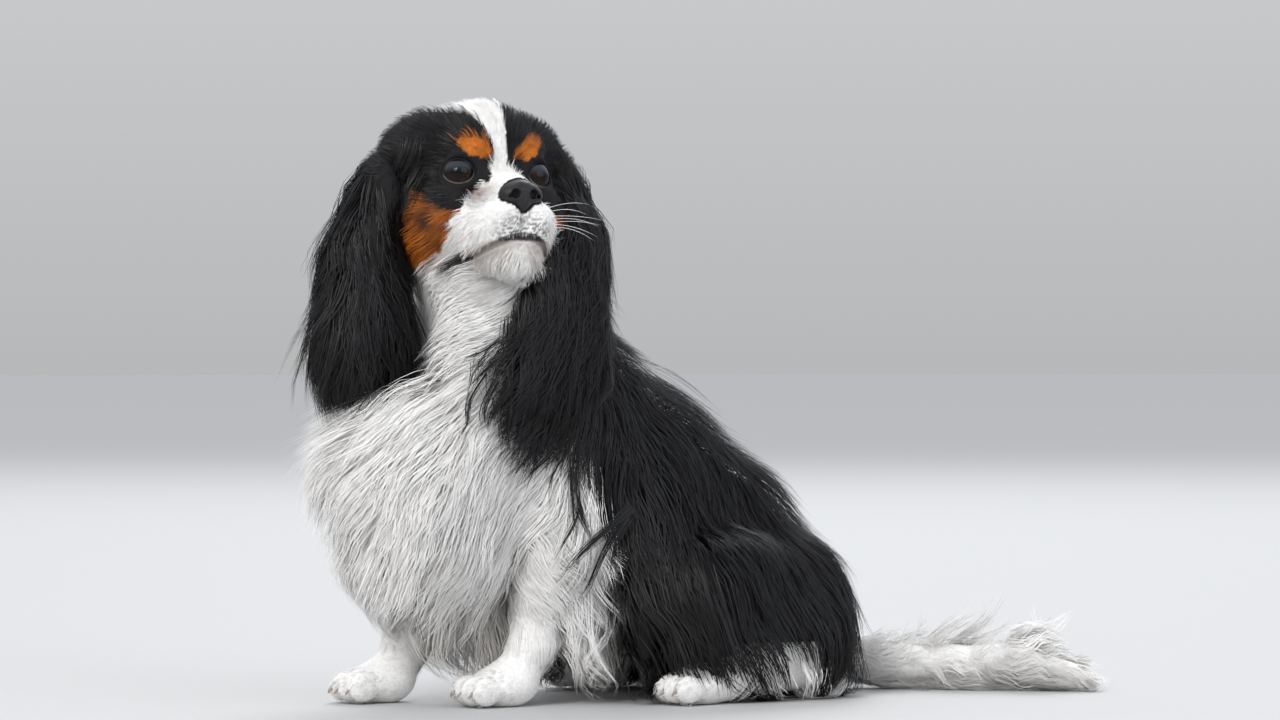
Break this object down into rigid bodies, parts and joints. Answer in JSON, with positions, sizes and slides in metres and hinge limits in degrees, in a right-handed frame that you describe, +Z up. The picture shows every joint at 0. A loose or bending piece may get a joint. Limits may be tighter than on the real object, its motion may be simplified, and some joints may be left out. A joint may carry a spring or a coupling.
{
  "type": "cavalier king charles spaniel",
  "caption": "Life-size still model of a tricolour cavalier king charles spaniel, sitting upright with its head turned over its left shoulder.",
  "frame": {"origin": "on the floor, in the middle of the flat under the rump", "axes": "+Z up, -Y the way the body faces, +X the dog's left"},
  "size_m": [0.2246, 0.5561, 0.4051],
  "materials": {
    "coat_black": "long silky black hair with a soft sheen, wavy on the ears and flanks",
    "coat_white": "long silky white hair, short and smooth on the face, legs and paws",
    "nose_leather": "black pebbled nose leather, slightly moist",
    "eye": "very dark brown glossy eye"
  },
  "bodies": {
    "root": {"nose": "nose_leather", "eye_left": "eye", "eye_right": "eye", "head": "coat_black", "neck": "coat_white", "torso": "coat_black", "chest": "coat_white", "flank_left": "coat_black", "flank_right": "coat_black", "ear_left": "coat_black", "ear_right": "coat_black", "foreleg_left": "coat_white", "foreleg_right": "coat_white", "forepaw_left": "coat_white", "forepaw_right": "coat_white", "thigh_left": "coat_black", "thigh_right": "coat_black", "hock_left": "coat_white", "hock_right": "coat_white", "hindpaw_left": "coat_white", "hindpaw_right": "coat_white", "tail": "coat_white"}
  },
  "joints": []
}
